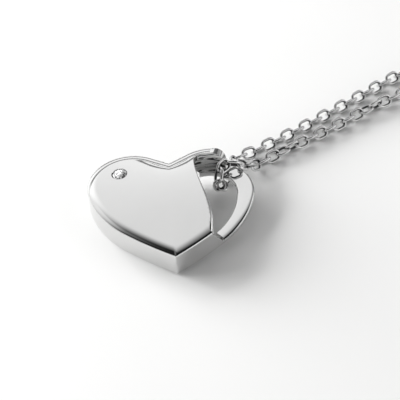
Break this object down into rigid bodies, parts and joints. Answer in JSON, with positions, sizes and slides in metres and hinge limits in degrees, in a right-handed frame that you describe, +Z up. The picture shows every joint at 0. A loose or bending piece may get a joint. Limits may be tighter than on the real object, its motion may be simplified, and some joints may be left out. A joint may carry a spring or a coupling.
{
  "type": "heart necklace",
  "caption": "Necklace with a domed, hollow-backed heart whose open lobe is threaded on a fine cable chain, a flush stone in the other lobe and a ring clasp.",
  "frame": {"origin": "middle of the laid-out necklace in plan, at the height of the surface it lies on", "axes": "+Z up from the surface, the heart's point towards -Y and its open lobe towards +X"},
  "size_m": [0.1596, 0.128, 0.0044],
  "materials": {
    "heart_metal": "polished white metal",
    "stone": "clear faceted stone",
    "chain_metal": "polished white metal",
    "clasp_metal": "polished white metal"
  },
  "bodies": {
    "root": {"heart": "heart_metal", "stone": "stone", "chain_front": "chain_metal", "chain_back": "chain_metal", "clasp": "clasp_metal"}
  },
  "joints": []
}
